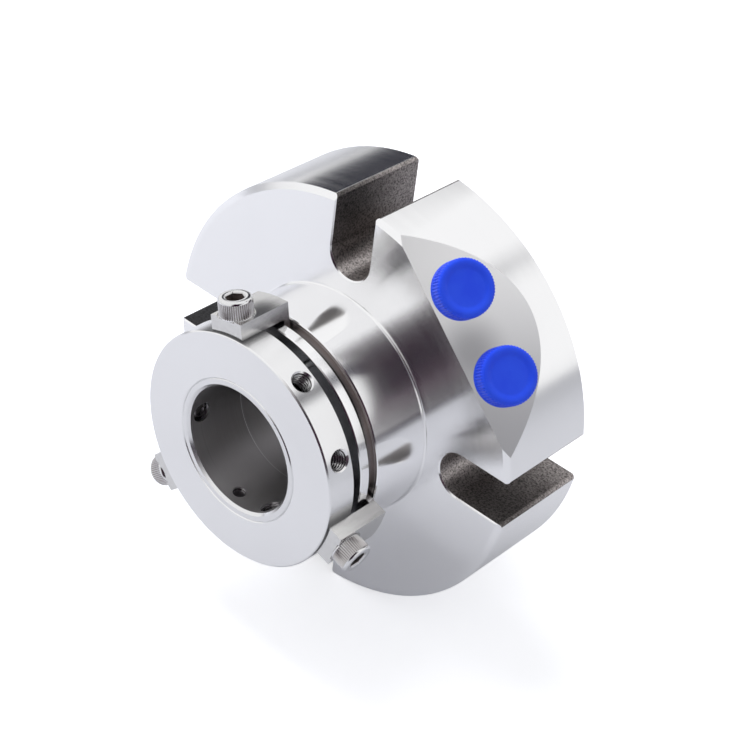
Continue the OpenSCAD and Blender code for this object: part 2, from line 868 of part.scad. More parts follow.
module outboard_rotary_face() {
    color("darkslategray") outboard_set() rotary_face();
}

module outboard_rotary_o_ring() {
    color("dimgray") outboard_set() rotary_o_ring();
}

module outboard_drive_pins() {
    color("lightgray") outboard_set() drive_pins();
}

module outboard_stationary_face() {
    color("black") outboard_set() stationary_face();
}

module outboard_stationary_o_ring() {
    color("dimgray") outboard_set() stationary_o_ring();
}

module outboard_spring_disc() {
    color("lightgray") outboard_set() spring_disc();
}

module outboard_springs() {
    color("silver") outboard_set() springs();
}

module outboard_lock_pins() {
    color("lightgray") outboard_set() lock_pins();
}

module inboard_rotary_face() {
    color("darkslategray") inboard_set() rotary_face();
}

module inboard_rotary_o_ring() {
    color("dimgray") inboard_set() rotary_o_ring();
}

module inboard_drive_pins() {
    color("lightgray") inboard_set() drive_pins();
}

module inboard_stationary_face() {
    color("black") inboard_set() stationary_face();
}

module inboard_stationary_o_ring() {
    color("dimgray") inboard_set() stationary_o_ring();
}

module inboard_spring_disc() {
    color("lightgray") inboard_set() spring_disc();
}

module inboard_springs() {
    color("silver") inboard_set() springs();
}

module inboard_lock_pins() {
    color("lightgray") inboard_set() lock_pins();
}

// Plastic screw plug: dished round head and hollow shank
module port_plug(side) {
    head_r = plug_head_d / 2;
    shank_r = port_thread_d / 2 - end_gap;
    shank_wall = 1.7;
    hollow_r = shank_r - shank_wall;
    hollow_end = 2;
    dish_rim = 2.2;
    dish_slope = 1;
    rib_depth = 0.3;
    rib_start = 1.5;
    dish_r = head_r - dish_rim;
    section = concat(
        [
            [0, hollow_end],
            [hollow_r, hollow_end],
            [hollow_r, -plug_shank_length],
            [shank_r, -plug_shank_length],
            [shank_r, 0],
            [head_r, 0]
        ],
        [for (a = [0:15:90]) [head_r - plug_head_round * (1 - cos(a)),
            plug_head_height - plug_head_round * (1 - sin(a))]],
        [
            [dish_r, plug_head_height],
            [dish_r - dish_slope, plug_head_height - plug_dish_depth],
            [0, plug_head_height - plug_dish_depth]
        ]
    );
    color("royalblue")
        on_shaft()
            at_port(side)
                rotate([0, 90, 0])
                    difference() {
                        rotate_extrude() polygon(section);
                        grip_grooves(plug_ribs, head_r, rib_depth, rib_start, plug_head_height + past);
                    }
}

// Straight V grooves around a head between two heights
module grip_grooves(count, head_r, depth, start, end) {
    for (i = [0:count - 1])
        rotate([0, 0, i * 360 / count])
            translate([head_r, 0, start])
                cylinder(r = depth, h = end - start, $fn = 4);
}

// Section of a setting clip: a strap over the collar with a hook at its rear end
clip_section = [
    [clip_inner_r, clip_front],
    [clip_r, clip_front],
    [clip_r, clip_back],
    [hook_r, clip_back],
    [hook_r, clip_back - hook_thickness],
    [clip_inner_r, clip_back - hook_thickness]
];

// One clip, cut with parallel sides from a turned ring
module setting_clip(index) {
    color("gainsboro")
        on_shaft()
            difference() {
                intersection() {
                    rotate_extrude() polygon(clip_section);
                    at_clock(clip_angles[index])
                        translate([hook_r / 2, -clip_width / 2, clip_front - past])
                            cube([clip_r, clip_width, clip_back - clip_front + 2 * past]);
                }
                outwards(clip_angles[index], screw_line) {
                    cylinder(r = screw_r + hole_gap, h = gland_r);
                    translate([0, 0, clip_seat_r]) cylinder(r = clip_seat_cut_r, h = gland_r);
                }
            }
}

// Socket head screw that holds a clip to the collar
module clip_screw(index) {
    head_edge = 0.5;
    knurl_depth = 0.2;
    knurl_start = 0.6;
    knurl_end = clip_screw_head_height - 2 * head_edge;
    socket_edge = 0.6;
    head_r = clip_screw_head_d / 2;
    color("silver")
        on_shaft()
            outwards(clip_angles[index], screw_line)
                translate([0, 0, clip_seat_r])
                    difference() {
                        union() {
                            cylinder(r = head_r, h = clip_screw_head_height - head_edge);
                            translate([0, 0, clip_screw_head_height - head_edge])
                                cylinder(r1 = head_r, r2 = head_r - head_edge, h = head_edge);
                            translate([0, 0, -clip_screw_length])
                                cylinder(r = screw_r - thread_gap, h = clip_screw_length + head_edge);
                        }
                        grip_grooves(knurl_teeth, head_r, knurl_depth, knurl_start, knurl_end);
                        translate([0, 0, clip_screw_head_height / 2])
                            hexagon(socket_key, clip_screw_head_height);
                        translate([0, 0, clip_screw_head_height - socket_edge])
                            cylinder(r1 = socket_key / 2, r2 = socket_key / 2 + socket_edge + past,
                                h = socket_edge + past);
                    }
}

gland();
gland_o_ring();
spring_carrier();
carrier_o_ring();
carrier_pin();
carrier_snap_ring();
sleeve();
shaft_o_ring();
pumping_ring();
drive_collar();
grip_screws();
dog_screws();
outboard_rotary_face();
outboard_rotary_o_ring();
outboard_drive_pins();
outboard_stationary_face();
outboard_stationary_o_ring();
outboard_spring_disc();
outboard_springs();
outboard_lock_pins();
inboard_rotary_face();
inboard_rotary_o_ring();
inboard_drive_pins();
inboard_stationary_face();
inboard_stationary_o_ring();
inboard_spring_disc();
inboard_springs();
inboard_lock_pins();
port_plug(-1);  // port_plug_upper
port_plug(1);  // port_plug_lower
setting_clip(0);  // setting_clip_1
setting_clip(1);  // setting_clip_2
setting_clip(2);  // setting_clip_3
clip_screw(0);  // clip_screw_1
clip_screw(1);  // clip_screw_2
clip_screw(2);  // clip_screw_3
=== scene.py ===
"""Looks of a balanced cartridge mechanical seal: turned and polished steel, blue plastic port plugs."""

import math

import bmesh
import bpy
from mathutils import Matrix, Vector


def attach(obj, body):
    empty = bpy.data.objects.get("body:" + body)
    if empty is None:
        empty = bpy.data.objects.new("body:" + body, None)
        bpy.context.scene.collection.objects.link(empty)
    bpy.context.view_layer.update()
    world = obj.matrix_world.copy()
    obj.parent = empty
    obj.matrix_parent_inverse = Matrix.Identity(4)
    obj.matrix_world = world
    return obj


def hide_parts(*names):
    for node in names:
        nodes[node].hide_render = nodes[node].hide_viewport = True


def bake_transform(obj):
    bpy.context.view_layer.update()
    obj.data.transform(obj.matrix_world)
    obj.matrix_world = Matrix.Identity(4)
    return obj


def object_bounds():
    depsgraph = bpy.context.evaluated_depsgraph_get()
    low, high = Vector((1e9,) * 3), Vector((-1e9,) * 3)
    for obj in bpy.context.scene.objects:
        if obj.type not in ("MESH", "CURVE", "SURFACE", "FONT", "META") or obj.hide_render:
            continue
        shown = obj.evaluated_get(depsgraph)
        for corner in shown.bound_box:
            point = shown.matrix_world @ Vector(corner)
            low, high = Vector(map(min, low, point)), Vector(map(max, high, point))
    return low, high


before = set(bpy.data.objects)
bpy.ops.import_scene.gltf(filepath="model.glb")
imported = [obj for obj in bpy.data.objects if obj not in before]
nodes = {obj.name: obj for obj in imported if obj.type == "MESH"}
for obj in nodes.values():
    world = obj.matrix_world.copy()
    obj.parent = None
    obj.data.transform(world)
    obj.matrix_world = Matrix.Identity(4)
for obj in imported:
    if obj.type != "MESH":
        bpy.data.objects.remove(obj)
cad_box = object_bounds()

MM = 0.001

# Places along the shaft, radii, and angles in degrees from the top towards +X, as in the part's source
GLAND_FRONT = -36 * MM
NECK_FRONT = -56.5 * MM
LIP_BACK = -59.4 * MM
COLLAR_FRONT = -76.7 * MM
SCREW_LINE = -71.4 * MM
NECK_R = 36.5 * MM
COLLAR_R = 37.15 * MM
CLIP_SEAT_R = 41.3 * MM
GLAND_R = 67.3 * MM
# Where a slot's painted light and shade end: at its sides, with the rounding of its mouth, and towards the
# shaft
SLOT_TONE_SIDE = 8.6 * MM
SLOT_TONE_END = 42.3 * MM
CLIP_CLOCKS = (-12.5, 107.5, 227.5)
GRIP_CLOCKS = (28.5, 148.5, 268.5)
DOG_CLOCKS = (66.5, 186.5, 306.5)
PORT_NORMAL = Vector((0.653281, -0.382683, 0.653281))
PORT_SEATS = {
    "upper": Vector((33.515, -27.316, 52.607)) * MM,
    "lower": Vector((52.607, -27.316, 33.515)) * MM,
}


# Materials

BRIGHT_STEEL = (0.80, 0.80, 0.81)
PALE_STEEL = (0.87, 0.87, 0.88)
GLAND_STEEL = (0.93, 0.93, 0.94)
DULL_STEEL = (0.72, 0.72, 0.73)
WHITE = (1.0, 1.0, 1.0)
ALL_ALIKE = (1, 1, 1)
# Width of a tool mark and of the slower waves in a turned surface
TOOL_MARK = 0.35 * MM
TOOL_WAVE = 2.6 * MM
TURNED_ANISOTROPY = 0.85
GLAND_ANISOTROPY = 0.95
# Where a painted highlight line runs round the bore, and where the port facet has a spot of painted shade
BORE_HIGHLIGHT_LINE = -55.4 * MM
FACET_SHADE_SPOT = (43.9 * MM, -31.3 * MM, 39.5 * MM)


class Shader:
    """Short names for building one material's nodes."""

    def __init__(self, name):
        self.material = bpy.data.materials.new(name)
        self.material.use_nodes = True
        self.tree = self.material.node_tree
        self.bsdf = self.tree.nodes["Principled BSDF"]
        self.coordinates = self.add("ShaderNodeTexCoord")
        self.geometry = self.add("ShaderNodeNewGeometry")
        self.own_place = self.coordinates.outputs["Object"]
        self._split = None

    def add(self, kind, **settings):
        node = self.tree.nodes.new(kind)
        for key, value in settings.items():
            setattr(node, key, value)
        return node

    def put(self, value, socket):
        if isinstance(value, bpy.types.NodeSocket):
            self.tree.links.new(value, socket)
        elif isinstance(value, (int, float)) and hasattr(socket.default_value, "__len__"):
            socket.default_value = [value] * len(socket.default_value)
        else:
            socket.default_value = value

    def math(self, operation, a, b=0.0):
        node = self.add("ShaderNodeMath", operation=operation)
        for value, socket in zip((a, b), node.inputs):
            self.put(value, socket)
        return node.outputs[0]

    def vector(self, operation, a, b=(0, 0, 0)):
        node = self.add("ShaderNodeVectorMath", operation=operation)
        self.put(a, node.inputs[0])
        self.put(b, node.inputs[1])
        return node.outputs["Value" if operation in ("DOT_PRODUCT", "LENGTH") else "Vector"]

    def ramp(self, value, low, high, to_low=0.0, to_high=1.0):
        """Goes smoothly from to_low at low to to_high at high."""
        node = self.add("ShaderNodeMapRange", interpolation_type="SMOOTHSTEP")
        for key, number in (("Value", value), ("From Min", low), ("From Max", high),
                            ("To Min", to_low), ("To Max", to_high)):
            self.put(number, node.inputs[key])
        return node.outputs[0]

    def band(self, value, low, high, soft):
        """1 between low and high, 0 outside, with soft edges."""
        return self.math("MULTIPLY", self.ramp(value, low - soft, low + soft),
                         self.ramp(value, high - soft, high + soft, 1.0, 0.0))

    def mix(self, share, a, b):
        """Mixes two numbers."""
        node = self.add("ShaderNodeMix", data_type="FLOAT")
        self.put(share, node.inputs[0])
        self.put(a, node.inputs[2])
        self.put(b, node.inputs[3])
        return node.outputs[0]

    def blend(self, share, a, b):
        """Mixes two colours."""
        node = self.add("ShaderNodeMix", data_type="RGBA")
        self.put(share, node.inputs[0])
        for value, socket in ((a, node.inputs[6]), (b, node.inputs[7])):
            self.put(colour(value) if isinstance(value, tuple) else value, socket)
        return node.outputs[2]

    def noise(self, vector, scale, detail=3.0, roughness=0.5, dimensions="3D"):
        node = self.add("ShaderNodeTexNoise", noise_dimensions=dimensions)
        self.put(vector, node.inputs["W" if dimensions == "1D" else "Vector"])
        node.inputs["Scale"].default_value = scale
        node.inputs["Detail"].default_value = detail
        node.inputs["Roughness"].default_value = roughness
        return node.outputs[0]

    def bump(self, height, distance, strength=1.0, normal=None):
        node = self.add("ShaderNodeBump")
        self.put(height, node.inputs["Height"])
        self.put(strength, node.inputs["Strength"])
        node.inputs["Distance"].default_value = distance
        if normal is not None:
            self.put(normal, node.inputs["Normal"])
        return node.outputs[0]

    def place(self):
        """x, y, z of the object's own coordinates, and the radius about the shaft, in metres."""
        if self._split is None:
            node = self.add("ShaderNodeSeparateXYZ")
            self.put(self.own_place, node.inputs[0])
            x, y, z = node.outputs
            r = self.math("SQRT", self.math("ADD", self.math("MULTIPLY", x, x), self.math("MULTIPLY", z, z)))
            self._split = (x, y, z, r)
        return self._split

    def turned_tangent(self):
        """Direction across the tool marks of a part turned about the shaft."""
        position = self.geometry.outputs["Position"]
        around = self.vector("CROSS_PRODUCT", (0, 1, 0), position)
        across = self.vector("CROSS_PRODUCT", self.geometry.outputs["Normal"], around)
        return self.vector("NORMALIZE", across)

    def set(self, **values):
        for key, value in values.items():
            socket = self.bsdf.inputs[key.replace("_", " ")]
            self.put(colour(value) if isinstance(value, tuple) and len(value) == 3 else value, socket)
        return self.material


def colour(rgb):
    return (*rgb, 1.0)


def turned_steel(name, base, roughness, polish=None, polished=None, dark=None, darkened=None, lines=0.35):
    """Steel turned about the shaft: fine tool marks, a sheen across them and faint clouding.

    polished(s, y, r) gives where its roughness is polish, and darkened(s, y, r) where its tone is dark.
    """
    s = Shader(name)
    _, y, _, r = s.place()
    along = s.math("ADD", r, y)
    fine = s.noise(along, 1 / TOOL_MARK, 2.0, 0.6, "1D")
    broad = s.noise(along, 1 / TOOL_WAVE, 2.0, 0.5, "1D")
    cloud = s.noise(s.own_place, 38.0, 3.0, 0.55)
    rough = s.math("ADD", roughness, s.math("MULTIPLY", s.math("SUBTRACT", broad, 0.5), 0.05))
    rough = s.math("ADD", rough, s.math("MULTIPLY", s.math("SUBTRACT", cloud, 0.5), 0.03))
    depth = lines
    tone = s.blend(s.ramp(cloud, 0.35, 0.75, 0.0, 0.35), base, tuple(c * 0.96 for c in base))
    tone = s.blend(s.ramp(fine, 0.3, 0.8, 0.0, 0.22), tone, tuple(c * 0.93 for c in base))
    if polished is not None:
        share = polished(s, y, r)
        waves = s.math("MULTIPLY", s.math("SUBTRACT", broad, 0.5), 0.03)
        rough = s.mix(share, rough, s.math("ADD", polish, waves))
        depth = s.mix(share, lines, lines * 0.25)
    if darkened is not None:
        share = darkened(s, y, r)
        tone = s.blend(share, tone, dark)
        rough = s.mix(share, rough, 0.35)
    normal = s.bump(fine, 0.004 * MM, depth)
    return s, tone, rough, normal


def finish_steel(s, tone, rough, normal, anisotropy=TURNED_ANISOTROPY):
    s.put(normal, s.bsdf.inputs["Normal"])
    s.put(s.turned_tangent(), s.bsdf.inputs["Tangent"])
    return s.set(Base_Color=tone, Metallic=1.0, Roughness=rough, Anisotropic=anisotropy)


def slot_mask(s):
    """1 on the walls of the four open slots, 0 on the gland's front, back and rim."""
    x, _, z, r = s.place()
    facing = s.add("ShaderNodeSeparateXYZ")
    s.put(s.geometry.outputs["Normal"], facing.inputs[0])
    along_shaft = s.math("ABSOLUTE", facing.outputs[1])
    in_slot = None
    for across, out in ((x, z), (z, x)):
        near = s.ramp(s.math("ABSOLUTE", across), SLOT_TONE_SIDE, SLOT_TONE_SIDE + 0.08 * MM, 1.0, 0.0)
        beyond = s.ramp(s.math("ABSOLUTE", out), SLOT_TONE_END, SLOT_TONE_END + 0.05 * MM)
        here = s.math("MULTIPLY", near, beyond)
        in_slot = here if in_slot is None else s.math("MAXIMUM", in_slot, here)
    in_slot = s.math("MULTIPLY", in_slot, s.ramp(along_shaft, 0.08, 0.2, 1.0, 0.0))
    return s.math("MULTIPLY", in_slot, s.ramp(r, GLAND_R - 0.06 * MM, GLAND_R - 0.03 * MM, 1.0, 0.0))


def slot_walls(s, tone, rough, normal):
    """Grainy walls of the open slots in painted shade, with painted light at the rear of the mouth and at
    the round end, and darker painted shade in the left slot.
    """
    x, y, _, r = s.place()
    in_slot = slot_mask(s)
    # Painted light at the rear of the mouth and at the round end
    mouth = s.math("MULTIPLY", s.ramp(y, -30 * MM, -7 * MM), s.ramp(r, 46 * MM, 58 * MM))
    round_end = s.ramp(r, 44.5 * MM, 51 * MM, 0.85, 0.0)
    bright = s.math("MAXIMUM", mouth, round_end)
    left_slot = s.ramp(x, -42 * MM, -41 * MM, 1.0, 0.0)
    grain = s.noise(s.own_place, 1700.0, 4.0, 0.75)
    patch = s.noise(s.own_place, 60.0, 3.0, 0.6)
    # The walls' two tones are painted shade and painted light
    painted_shade_wall = s.blend(s.ramp(grain, 0.32, 0.66), (0.040, 0.037, 0.036), (0.235, 0.216, 0.211))
    painted_light_wall = s.blend(s.ramp(grain, 0.34, 0.64), (0.13, 0.119, 0.117), (0.66, 0.605, 0.593))
    wall = s.blend(bright, painted_shade_wall, painted_light_wall)
    wall = s.blend(s.ramp(patch, 0.4, 0.75, 0.0, 0.30), wall, (0.10, 0.088, 0.084))
    # The left slot's walls in a darker painted shade
    painted_shade_left_wall = s.blend(s.ramp(grain, 0.32, 0.66), (0.040, 0.040, 0.042), (0.095, 0.095, 0.10))
    wall = s.blend(left_slot, wall, painted_shade_left_wall)
    tone = s.blend(in_slot, tone, wall)
    rough = s.mix(in_slot, rough, s.mix(left_slot, 0.40, 0.5))
    rough_wall = s.math("MULTIPLY", in_slot, s.math("SUBTRACT", 1.0, left_slot))
    normal = s.bump(s.math("MULTIPLY", grain, rough_wall), 0.12 * MM, 0.45, normal)
    return tone, rough, normal


def port_facet(s, tone, rough):
    """The milled flat around the ports, with painted shade low down and at one spot."""
    z = s.place()[2]
    flat = s.vector("DOT_PRODUCT", s.geometry.outputs["Normal"], tuple(PORT_NORMAL))
    flat = s.ramp(flat, 0.985, 0.995)
    # Painted shade: darker low down, and darker round one spot
    facet_painted_shade = s.blend(s.ramp(z, 20 * MM, 60 * MM), (0.54, 0.54, 0.56), (0.99, 0.99, 1.0))
    from_shade_spot = s.vector("LENGTH", s.vector("SUBTRACT", s.own_place, FACET_SHADE_SPOT))
    facet_painted_shade = s.blend(s.ramp(from_shade_spot, 1 * MM, 13 * MM, 0.75, 0.0), facet_painted_shade, (0.27, 0.27, 0.29))
    tone = s.blend(s.math("MULTIPLY", flat, 0.85), tone, facet_painted_shade)
    return tone, s.mix(flat, rough, 0.30)


def groove_light(s, tone, in_groove):
    """Painted light on a groove darkened with painted shade: on its rear wall in a band and a bright line,
    and on its floor and front.
    """
    _, y, _, r = s.place()
    band = s.math("MULTIPLY", in_groove, s.band(r, 33.9 * MM, 35.2 * MM, 0.2 * MM))
    tone = s.blend(band, tone, (0.55, 0.49, 0.48))
    line = s.math("MULTIPLY", s.band(y, NECK_FRONT - 0.1 * MM, NECK_FRONT + 0.1 * MM, 0.02 * MM),
                  s.band(r, 35.3 * MM, 35.55 * MM, 0.05 * MM))
    tone = s.blend(line, tone, WHITE)
    before_wall = s.ramp(y, NECK_FRONT - 0.3 * MM, NECK_FRONT - 0.2 * MM, 1.0, 0.0)
    return s.blend(s.math("MULTIPLY", in_groove, before_wall), tone, (0.62, 0.56, 0.55))


def gland_material():
    """Turned steel, polished on the neck, with painted light and shade on its slot walls, port facet and the
    groove behind the lip.
    """
    def neck(s, y, r):
        return s.math("MULTIPLY", s.ramp(y, GLAND_FRONT - 0.9 * MM, GLAND_FRONT - 0.5 * MM, 1.0, 0.0),
                      s.ramp(r, 33 * MM, 33.5 * MM))

    def groove(s, y, r):
        return s.math("MULTIPLY", s.band(y, LIP_BACK, NECK_FRONT, 0.05 * MM),
                      s.ramp(r, NECK_R - 1.0 * MM, NECK_R - 0.6 * MM, 1.0, 0.0))

    # The groove behind the lip is darkened with painted shade
    s, tone, rough, normal = turned_steel("gland_turned_steel", GLAND_STEEL, 0.165, 0.135, neck,
                                          (0.05, 0.045, 0.045), groove, lines=0.12)
    _, y, _, r = s.place()
    tone, rough, normal = slot_walls(s, tone, rough, normal)
    tone, rough = port_facet(s, tone, rough)
    tone = groove_light(s, tone, groove(s, y, r))
    return finish_steel(s, tone, rough, normal, GLAND_ANISOTROPY)


def sleeve_material():
    def bore(s, y, r):
        return s.math("MULTIPLY", s.ramp(r, 20.5 * MM, 20.7 * MM, 1.0, 0.0),
                      s.ramp(y, COLLAR_FRONT + 0.75 * MM, COLLAR_FRONT + 0.85 * MM))

    s, tone, rough, normal = turned_steel("sleeve_bored_steel", BRIGHT_STEEL, 0.20,
                                          dark=(0.46, 0.45, 0.455), darkened=bore)
    x, y, z, r = s.place()
    inside = bore(s, y, r)
    streaks = s.noise(s.math("ADD", y, s.math("MULTIPLY", x, 0.02)), 1 / (0.5 * MM), 3.0, 0.7, "1D")
    streaked = s.math("MULTIPLY", inside, s.ramp(streaks, 0.45, 0.8, 0.0, 0.35))
    tone = s.blend(streaked, tone, (0.30, 0.285, 0.28))
    # Painted light low down, with one painted highlight line round it
    low = s.math("MULTIPLY", inside, s.ramp(z, -19 * MM, -12 * MM, 0.75, 0.0))
    tone = s.blend(low, tone, (0.76, 0.74, 0.75))
    line = s.math("MULTIPLY", inside, s.band(y, BORE_HIGHLIGHT_LINE - 0.10 * MM, BORE_HIGHLIGHT_LINE + 0.10 * MM, 0.03 * MM))
    tone = s.blend(line, tone, WHITE)
    return finish_steel(s, tone, rough, normal)


def collar_material():
    s, tone, rough, normal = turned_steel("collar_satin_steel", PALE_STEEL, 0.21, lines=0.15)
    x, _, z, r = s.place()
    clock = s.math("MULTIPLY", s.math("ARCTAN2", x, z), 180 / math.pi)
    clip_step = CLIP_CLOCKS[1] - CLIP_CLOCKS[0]
    past_clip = s.math("FLOORED_MODULO", s.math("SUBTRACT", clock, CLIP_CLOCKS[0]), clip_step)
    to_next = s.math("SUBTRACT", clip_step, past_clip)
    side = s.ramp(r, COLLAR_R - 0.3 * MM, COLLAR_R - 0.1 * MM)
    # Painted shade next to each clip, and a painted dark reflection in a stripe past each grip screw's hole.
    # The angles are in degrees
    painted_shade_by_clip = s.math("MAXIMUM", s.ramp(past_clip, 9.0, 16.0, 0.93, 0.0),
                    s.ramp(to_next, 10.5, 22.0, 0.95, 0.0))
    painted_reflection_stripe = s.math("MULTIPLY", s.band(past_clip, 45.0, 49.0, 3.0), 0.55)
    tone = s.blend(s.math("MULTIPLY", side, painted_shade_by_clip), tone, (0.05, 0.05, 0.055))
    tone = s.blend(s.math("MULTIPLY", side, painted_reflection_stripe), tone, (0.25, 0.245, 0.25))
    return finish_steel(s, tone, rough, normal)


def inner_material():
    return finish_steel(*turned_steel("inner_turned_steel", DULL_STEEL, 0.28, lines=0.15))


def brushed_metal(name, base, roughness, grain_scale, depth, stretch=(1.0, 0.08, 1.0), recess_shade=None):
    """Milled or ground steel with fine grain.

    The grain runs straight along the shaft, unless stretch is alike in all directions. recess is the tone of
    painted shade where a mesh's own recess value is 1.
    """
    s = Shader(name)
    mapping = s.add("ShaderNodeMapping")
    s.put(s.own_place, mapping.inputs["Vector"])
    mapping.inputs["Scale"].default_value = stretch
    grain = s.noise(mapping.outputs[0], grain_scale, 4.0, 0.65)
    cloud = s.noise(s.own_place, 70.0, 3.0, 0.5)
    tone = s.blend(s.ramp(grain, 0.3, 0.7, 0.0, 0.5), base, tuple(c * 0.82 for c in base))
    rough = s.math("ADD", roughness, s.math("MULTIPLY", s.math("SUBTRACT", cloud, 0.5), 0.12))
    if recess_shade is not None:
        depth_in = s.add("ShaderNodeAttribute", attribute_name="recess_shade").outputs["Fac"]
        tone = s.blend(depth_in, tone, recess_shade)
        rough = s.mix(depth_in, rough, 0.45)
    s.put(s.bump(grain, 0.01 * MM, depth), s.bsdf.inputs["Normal"])
    return s.set(Base_Color=tone, Metallic=1.0, Roughness=rough)


def rubber():
    s = Shader("seal_rubber")
    grain = s.noise(s.own_place, 2600.0, 2.0)
    cloud = s.noise(s.own_place, 120.0, 3.0)
    tone = s.blend(cloud, (0.018, 0.018, 0.019), (0.034, 0.034, 0.036))
    s.put(s.bump(grain, 0.02 * MM, 0.3), s.bsdf.inputs["Normal"])
    return s.set(Base_Color=tone, Roughness=s.ramp(cloud, 0.2, 0.8, 0.42, 0.58))


def ceramic(name, low, high, roughness):
    s = Shader(name)
    _, y, _, r = s.place()
    speck = s.noise(s.own_place, 1500.0, 3.0, 0.7)
    rings = s.noise(s.math("ADD", r, y), 1 / (0.6 * MM), 2.0, 0.5, "1D")
    tone = s.blend(s.ramp(speck, 0.35, 0.7), low, high)
    s.put(s.bump(rings, 0.003 * MM, 0.3), s.bsdf.inputs["Normal"])
    return s.set(Base_Color=tone, Roughness=s.ramp(rings, 0.2, 0.8, roughness, roughness + 0.1))


def blue_plastic():
    s = Shader("plug_blue_plastic")
    fine = s.noise(s.own_place, 1400.0, 3.0, 0.6)
    cloud = s.noise(s.own_place, 160.0, 2.0)
    tone = s.blend(s.ramp(cloud, 0.3, 0.7), (0.012, 0.072, 0.97), (0.018, 0.090, 1.0))
    s.put(s.bump(fine, 0.02 * MM, 0.25), s.bsdf.inputs["Normal"])
    return s.set(Base_Color=tone, Roughness=s.ramp(fine, 0.2, 0.8, 0.38, 0.52), Specular_IOR_Level=0.35)


materials = {
    "gland": gland_material(),
    "sleeve": sleeve_material(),
    "collar": collar_material(),
    "inner": inner_material(),
    "clip": brushed_metal("clip_milled_steel", (0.72, 0.715, 0.71), 0.22, 900.0, 0.12),
    # The last colour of the screw and thread finishes is the painted shade of their recesses
    "screw": brushed_metal("screw_bright_steel", BRIGHT_STEEL, 0.17, 1500.0, 0.15, ALL_ALIKE,
                           (0.20, 0.16, 0.15)),
    "thread": brushed_metal("thread_cut_steel", BRIGHT_STEEL, 0.20, 1500.0, 0.15, ALL_ALIKE,
                            (0.04, 0.036, 0.036)),
    "set_screw": brushed_metal("set_screw_dark_steel", (0.30, 0.29, 0.295), 0.25, 1500.0, 0.2, ALL_ALIKE),
    "pin": brushed_metal("pin_ground_steel", (0.30, 0.30, 0.31), 0.30, 1500.0, 0.15),
    "spring": brushed_metal("spring_wire_steel", (0.58, 0.58, 0.60), 0.25, 1500.0, 0.15, ALL_ALIKE),
    "rubber": rubber(),
    "hard": ceramic("silicon_carbide", (0.035, 0.035, 0.040), (0.085, 0.085, 0.095), 0.16),
    "carbon": ceramic("carbon_graphite", (0.018, 0.018, 0.018), (0.050, 0.050, 0.050), 0.34),
    "plastic": blue_plastic(),
}

FINISH = {
    "gland": "gland", "sleeve": "sleeve", "drive_collar": "collar",
    "spring_carrier": "inner", "pumping_ring": "inner", "carrier_snap_ring": "inner",
    "grip_screws": "set_screw", "dog_screws": "set_screw", "carrier_pin": "pin",
    "port_plug_upper": "plastic", "port_plug_lower": "plastic",
}


def finish_of(node):
    if node in FINISH:
        return FINISH[node]
    for ending, finish in (("o_ring", "rubber"), ("springs", "spring"), ("pins", "pin"), ("disc", "inner"),
                           ("rotary_face", "hard"), ("stationary_face", "carbon")):
        if node.endswith(ending):
            return finish
    return "clip" if node.startswith("setting_clip") else "screw"


for name, obj in nodes.items():
    obj.data.materials.clear()
    obj.data.materials.append(materials[finish_of(name)])


# Pieces

def grid_mesh(name, rows, close_rows=False, recess_shade=None):
    """A mesh over rows of points, each row closed on itself, in millimetres.

    recess(point) gives the share of painted shade that a material may read, from 0 to 1.
    """
    count = len(rows[0])
    points = [[c * MM for c in point] for row in rows for point in row]
    faces = []
    last = len(rows) if close_rows else len(rows) - 1
    for i in range(last):
        k = (i + 1) % len(rows)
        for j in range(count):
            n = (j + 1) % count
            faces.append((i * count + j, i * count + n, k * count + n, k * count + j))
    mesh = bpy.data.meshes.new(name)
    mesh.from_pydata(points, [], faces)
    if recess_shade is not None:
        values = mesh.attributes.new("recess_shade", "FLOAT", "POINT")
        values.data.foreach_set("value", [recess_shade(point) for row in rows for point in row])
    return mesh


def around(r, z, count, shape=None):
    """One row of points about Z. shape(angle) gives the change in radius."""
    row = []
    for j in range(count):
        a = 2 * math.pi * j / count
        radius = r + (shape(a) if shape else 0.0)
        row.append((radius * math.cos(a), radius * math.sin(a), z))
    return row


def plain_rows(count, *places):
    """Rows of plain circles about Z, each place a radius and a height."""
    return [around(r, z, count) for r, z in places]


def tidy(mesh, sharp_degrees):
    """Joins double points, turns the faces outwards and shades smooth between sharp edges."""
    bm = bmesh.new()
    bm.from_mesh(mesh)
    bmesh.ops.remove_doubles(bm, verts=bm.verts, dist=1e-7)
    loose = [f for f in bm.faces if f.calc_area() < 1e-15]
    bmesh.ops.delete(bm, geom=loose, context="FACES")
    bmesh.ops.recalc_face_normals(bm, faces=bm.faces)
    for f in bm.faces:
        f.smooth = True
    for e in bm.edges:
        if len(e.link_faces) == 2:
            e.smooth = e.calc_face_angle(0.0) < math.radians(sharp_degrees)
    bm.to_mesh(mesh)
    bm.free()


def piece(name, mesh, material, body, matrix=None, sharp=35):
    """Adds a piece that rides on a body, if one is given, and takes its finish from a material slot."""
    if matrix is not None:
        mesh.transform(matrix)
    tidy(mesh, sharp)
    mesh.materials.append(materials[material])
    obj = bpy.data.objects.new(name, mesh)
    bpy.context.scene.collection.objects.link(obj)
    if body is not None:
        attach(obj, body)
    return obj


def frame_at(origin, axis):
    """A matrix that takes Z to an axis at a place."""
    turn = Vector(axis).to_track_quat("Z", "Y").to_matrix().to_4x4()
    return Matrix.Translation(origin) @ turn


def radial(clock, radius, along):
    """A matrix that takes Z outwards along the radius at a clock angle."""
    a = math.radians(clock)
    axis = Vector((math.sin(a), 0, math.cos(a)))
    return frame_at(axis * radius + Vector((0, along, 0)), axis)


def thread(z, a, pitch, depth):
    """Height of a screw thread's ridge at a place and angle."""
    phase = (z / pitch + a / (2 * math.pi)) % 1.0
    ridge = min(1.0, max(0.0, (abs(2 * phase - 1) - 0.12) / 0.76))
    return depth * ridge


